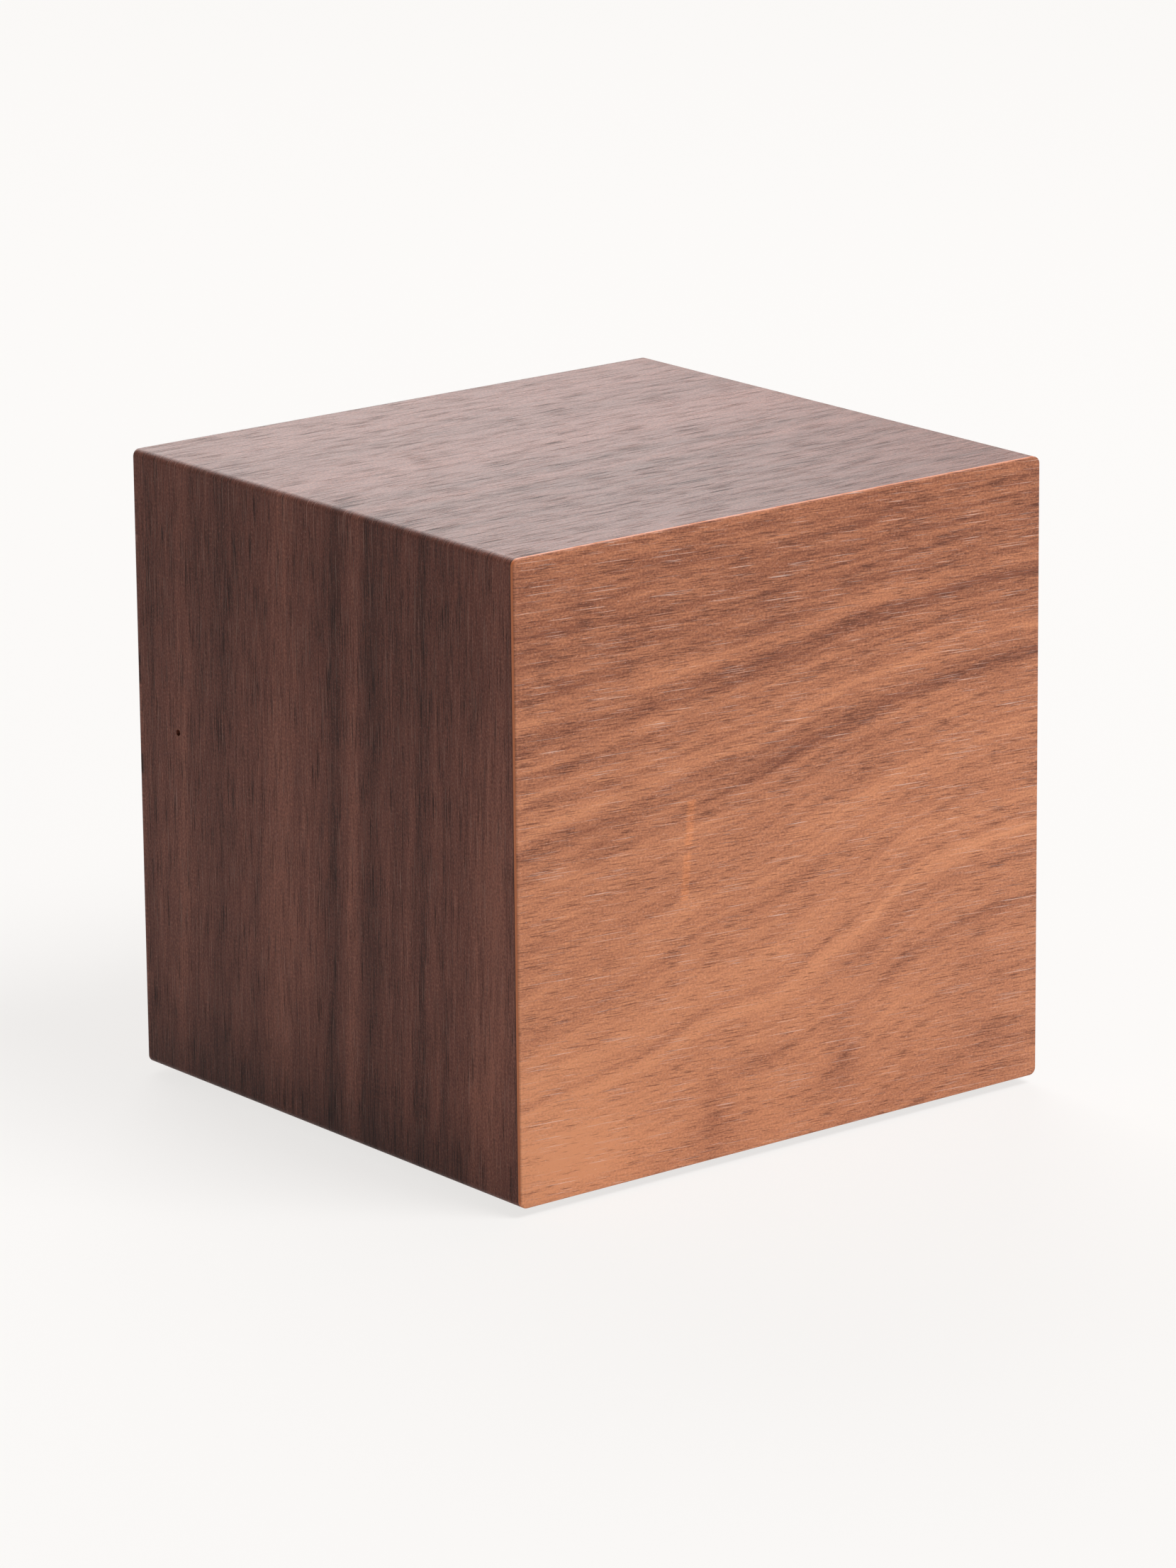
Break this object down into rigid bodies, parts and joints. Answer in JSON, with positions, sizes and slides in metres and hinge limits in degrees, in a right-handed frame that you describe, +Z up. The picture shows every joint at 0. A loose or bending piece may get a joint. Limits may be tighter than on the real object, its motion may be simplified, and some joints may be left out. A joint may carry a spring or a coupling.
{
  "type": "led cube alarm clock",
  "caption": "Small wooden cube alarm clock whose lit figures shine through the front veneer, with push buttons and a power socket at the back and a battery door underneath.",
  "frame": {"origin": "on the table, under the middle of the cabinet", "axes": "+X to the right as seen from the display, +Y to the back (the display faces -Y), +Z up"},
  "size_m": [0.08, 0.0753, 0.0786],
  "materials": {
    "wrap_walnut": "dark walnut veneer, satin lacquer",
    "face_walnut": "lighter brown walnut veneer, satin lacquer",
    "fibreboard": "bare fibreboard",
    "housing_black": "moulded, fine matt",
    "segment_resin": "milky diffusing resin",
    "circuit_board": "solder mask, satin",
    "chip_black": "moulded, matt",
    "tinned_metal": "tinned, satin",
    "contact_metal": "nickel-plated spring strip",
    "screw_steel": "zinc-plated",
    "pale_nylon": "moulded nylon",
    "grey_ribbon": "soft cable jacket",
    "button_black": "moulded, satin",
    "tray_black": "moulded, fine matt texture",
    "cell_jacket": "plain dark printed sleeve, satin",
    "black_wire": "soft jacket",
    "red_wire": "soft jacket",
    "foot_rubber": "foamed rubber pad"
  },
  "bodies": {
    "cabinet": {"wrap_veneer": "wrap_walnut", "back_veneer": "wrap_walnut", "front_veneer": "face_walnut", "top_board": "fibreboard", "left_board": "fibreboard", "right_board": "fibreboard", "bottom_board": "fibreboard", "front_board": "fibreboard", "back_board": "fibreboard", "display_housing": "housing_black", "segment_lenses": "segment_resin", "display_substrate": "circuit_board", "display_board": "circuit_board", "key_board": "circuit_board", "clock_chip": "chip_black", "set_switch": "chip_black", "up_switch": "chip_black", "down_switch": "chip_black", "power_socket_insulator": "chip_black", "buzzer": "chip_black", "clock_crystal": "tinned_metal", "power_socket_shell": "tinned_metal", "microphone": "tinned_metal", "negative_contact": "contact_metal", "left_bridge_contact": "contact_metal", "right_bridge_contact": "contact_metal", "positive_contact": "contact_metal", "display_screw_1": "screw_steel", "display_screw_2": "screw_steel", "display_screw_3": "screw_steel", "display_screw_4": "screw_steel", "key_screw_1": "screw_steel", "key_screw_2": "screw_steel", "tray_screw_1": "screw_steel", "tray_screw_2": "screw_steel", "tray_screw_3": "screw_steel", "tray_screw_4": "screw_steel", "display_header": "pale_nylon", "key_header": "pale_nylon", "key_post_1": "pale_nylon", "key_post_2": "pale_nylon", "ribbon_cable": "grey_ribbon", "battery_tray": "tray_black", "battery_1": "cell_jacket", "battery_2": "cell_jacket", "battery_3": "cell_jacket", "black_battery_lead": "black_wire", "red_battery_lead": "red_wire", "foot_1": "foot_rubber", "foot_2": "foot_rubber", "foot_3": "foot_rubber", "foot_4": "foot_rubber"},
    "set_key": {"set_button": "button_black", "set_plunger": "pale_nylon"},
    "up_key": {"up_button": "button_black", "up_plunger": "pale_nylon"},
    "down_key": {"down_button": "button_black", "down_plunger": "pale_nylon"},
    "door": {"battery_door": "tray_black"}
  },
  "joints": [
    {"name": "set_press", "type": "slide", "parent": "cabinet", "child": "set_key", "axis": [0, -1, 0], "range_m": [0, 0.0005], "stiffness_N_per_m": 300},
    {"name": "up_press", "type": "slide", "parent": "cabinet", "child": "up_key", "axis": [0, -1, 0], "range_m": [0, 0.0005], "stiffness_N_per_m": 300},
    {"name": "down_press", "type": "slide", "parent": "cabinet", "child": "down_key", "axis": [0, -1, 0], "range_m": [0, 0.0005], "stiffness_N_per_m": 300},
    {"name": "battery_door_hinge", "type": "hinge", "parent": "cabinet", "child": "door", "pos_m": [0, -0.0177, 0.0011], "axis": [-1, 0, 0], "range_deg": [0, 75]}
  ]
}
